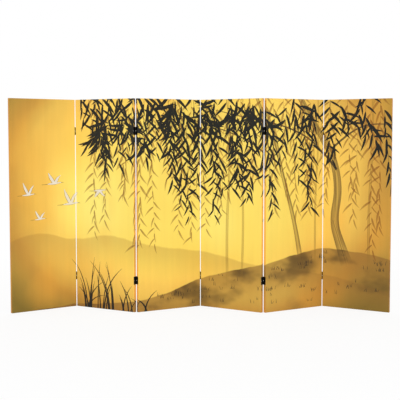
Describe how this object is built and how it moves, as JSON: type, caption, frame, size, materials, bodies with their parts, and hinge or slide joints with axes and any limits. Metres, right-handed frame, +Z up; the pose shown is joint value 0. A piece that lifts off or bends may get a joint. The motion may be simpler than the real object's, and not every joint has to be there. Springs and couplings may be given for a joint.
{
  "type": "folding screen",
  "caption": "Folding screen: canvas panels stretched on wooden frames, standing in a zigzag, joined by double-action hinges that fold flat either way.",
  "frame": {"origin": "on the floor, under the middle of the screen as it stands in the picture", "axes": "+X to the right along the screen, +Y to the back, +Z up"},
  "size_m": [2.133, 0.2462, 1.2],
  "materials": {
    "pine": "planed softwood, unfinished",
    "front_canvas": "printed cotton canvas, matt, gold ground with a drawn design",
    "back_canvas": "printed cotton canvas, matt, gold ground with a sparse design",
    "black_hinge_steel": "satin black lacquer",
    "black_screw": "black oxide",
    "pin_steel": "drawn wire, dull"
  },
  "bodies": {
    "panel_1": {"stile_left_1": "pine", "stile_right_1": "pine", "cross_rails_1": "pine", "mid_rail_1": "pine", "canvas_front_1": "front_canvas", "canvas_back_1": "back_canvas", "hinge_leaves_1": "black_hinge_steel", "hinge_screws_1": "black_screw"},
    "panel_2": {"stile_left_2": "pine", "stile_right_2": "pine", "cross_rails_2": "pine", "mid_rail_2": "pine", "canvas_front_2": "front_canvas", "canvas_back_2": "back_canvas", "hinge_leaves_2": "black_hinge_steel", "hinge_screws_2": "black_screw"},
    "panel_3": {"stile_left_3": "pine", "stile_right_3": "pine", "cross_rails_3": "pine", "mid_rail_3": "pine", "canvas_front_3": "front_canvas", "canvas_back_3": "back_canvas", "hinge_leaves_3": "black_hinge_steel", "hinge_screws_3": "black_screw"},
    "panel_4": {"stile_left_4": "pine", "stile_right_4": "pine", "cross_rails_4": "pine", "mid_rail_4": "pine", "canvas_front_4": "front_canvas", "canvas_back_4": "back_canvas", "hinge_leaves_4": "black_hinge_steel", "hinge_screws_4": "black_screw"},
    "panel_5": {"stile_left_5": "pine", "stile_right_5": "pine", "cross_rails_5": "pine", "mid_rail_5": "pine", "canvas_front_5": "front_canvas", "canvas_back_5": "back_canvas", "hinge_leaves_5": "black_hinge_steel", "hinge_screws_5": "black_screw"},
    "panel_6": {"stile_left_6": "pine", "stile_right_6": "pine", "cross_rails_6": "pine", "mid_rail_6": "pine", "canvas_front_6": "front_canvas", "canvas_back_6": "back_canvas", "hinge_leaves_6": "black_hinge_steel", "hinge_screws_6": "black_screw"},
    "link_1": {"hinge_links_1": "black_hinge_steel", "hinge_pins_1": "pin_steel"},
    "link_2": {"hinge_links_2": "black_hinge_steel", "hinge_pins_2": "pin_steel"},
    "link_3": {"hinge_links_3": "black_hinge_steel", "hinge_pins_3": "pin_steel"},
    "link_4": {"hinge_links_4": "black_hinge_steel", "hinge_pins_4": "pin_steel"},
    "link_5": {"hinge_links_5": "black_hinge_steel", "hinge_pins_5": "pin_steel"}
  },
  "joints": [
    {"name": "fold_1_front_pin", "type": "hinge", "parent": "link_1", "child": "panel_1", "pos_m": [-0.72281, 0.10094, 0.6], "axis": [0, 0, 1], "range_deg": [-63.96, 116.04]},
    {"name": "fold_1_back_pin", "type": "hinge", "parent": "panel_2", "child": "link_1", "pos_m": [-0.71125, 0.12105, 0.6], "axis": [0, 0, 1], "range_deg": [-180, 0]},
    {"name": "fold_2_front_pin", "type": "hinge", "parent": "link_2", "child": "panel_2", "pos_m": [-0.3744, -0.09939, 0.6], "axis": [0, 0, -1], "range_deg": [-176, 0]},
    {"name": "fold_2_back_pin", "type": "hinge", "parent": "panel_3", "child": "link_2", "pos_m": [-0.36284, -0.07928, 0.6], "axis": [0, 0, -1], "range_deg": [-58.78, 121.22]},
    {"name": "fold_3_front_pin", "type": "hinge", "parent": "panel_3", "child": "link_3", "pos_m": [0.00028, 0.09452, 0.6], "axis": [0, 0, -1], "range_deg": [-61.32, 118.68]},
    {"name": "fold_3_back_pin", "type": "hinge", "parent": "link_3", "child": "panel_4", "pos_m": [0.01273, 0.1141, 0.6], "axis": [0, 0, -1], "range_deg": [-180, 0]},
    {"name": "fold_4_front_pin", "type": "hinge", "parent": "panel_4", "child": "link_4", "pos_m": [0.33947, -0.12105, 0.6], "axis": [0, 0, 1], "range_deg": [-180, 0]},
    {"name": "fold_4_back_pin", "type": "hinge", "parent": "link_4", "child": "panel_5", "pos_m": [0.35192, -0.10147, 0.6], "axis": [0, 0, 1], "range_deg": [-62.62, 117.38]},
    {"name": "fold_5_front_pin", "type": "hinge", "parent": "panel_5", "child": "link_5", "pos_m": [0.711, 0.08052, 0.6], "axis": [0, 0, -1], "range_deg": [-60.8, 119.2]},
    {"name": "fold_5_back_pin", "type": "hinge", "parent": "link_5", "child": "panel_6", "pos_m": [0.72281, 0.10049, 0.6], "axis": [0, 0, -1], "range_deg": [-180, 0]}
  ]
}
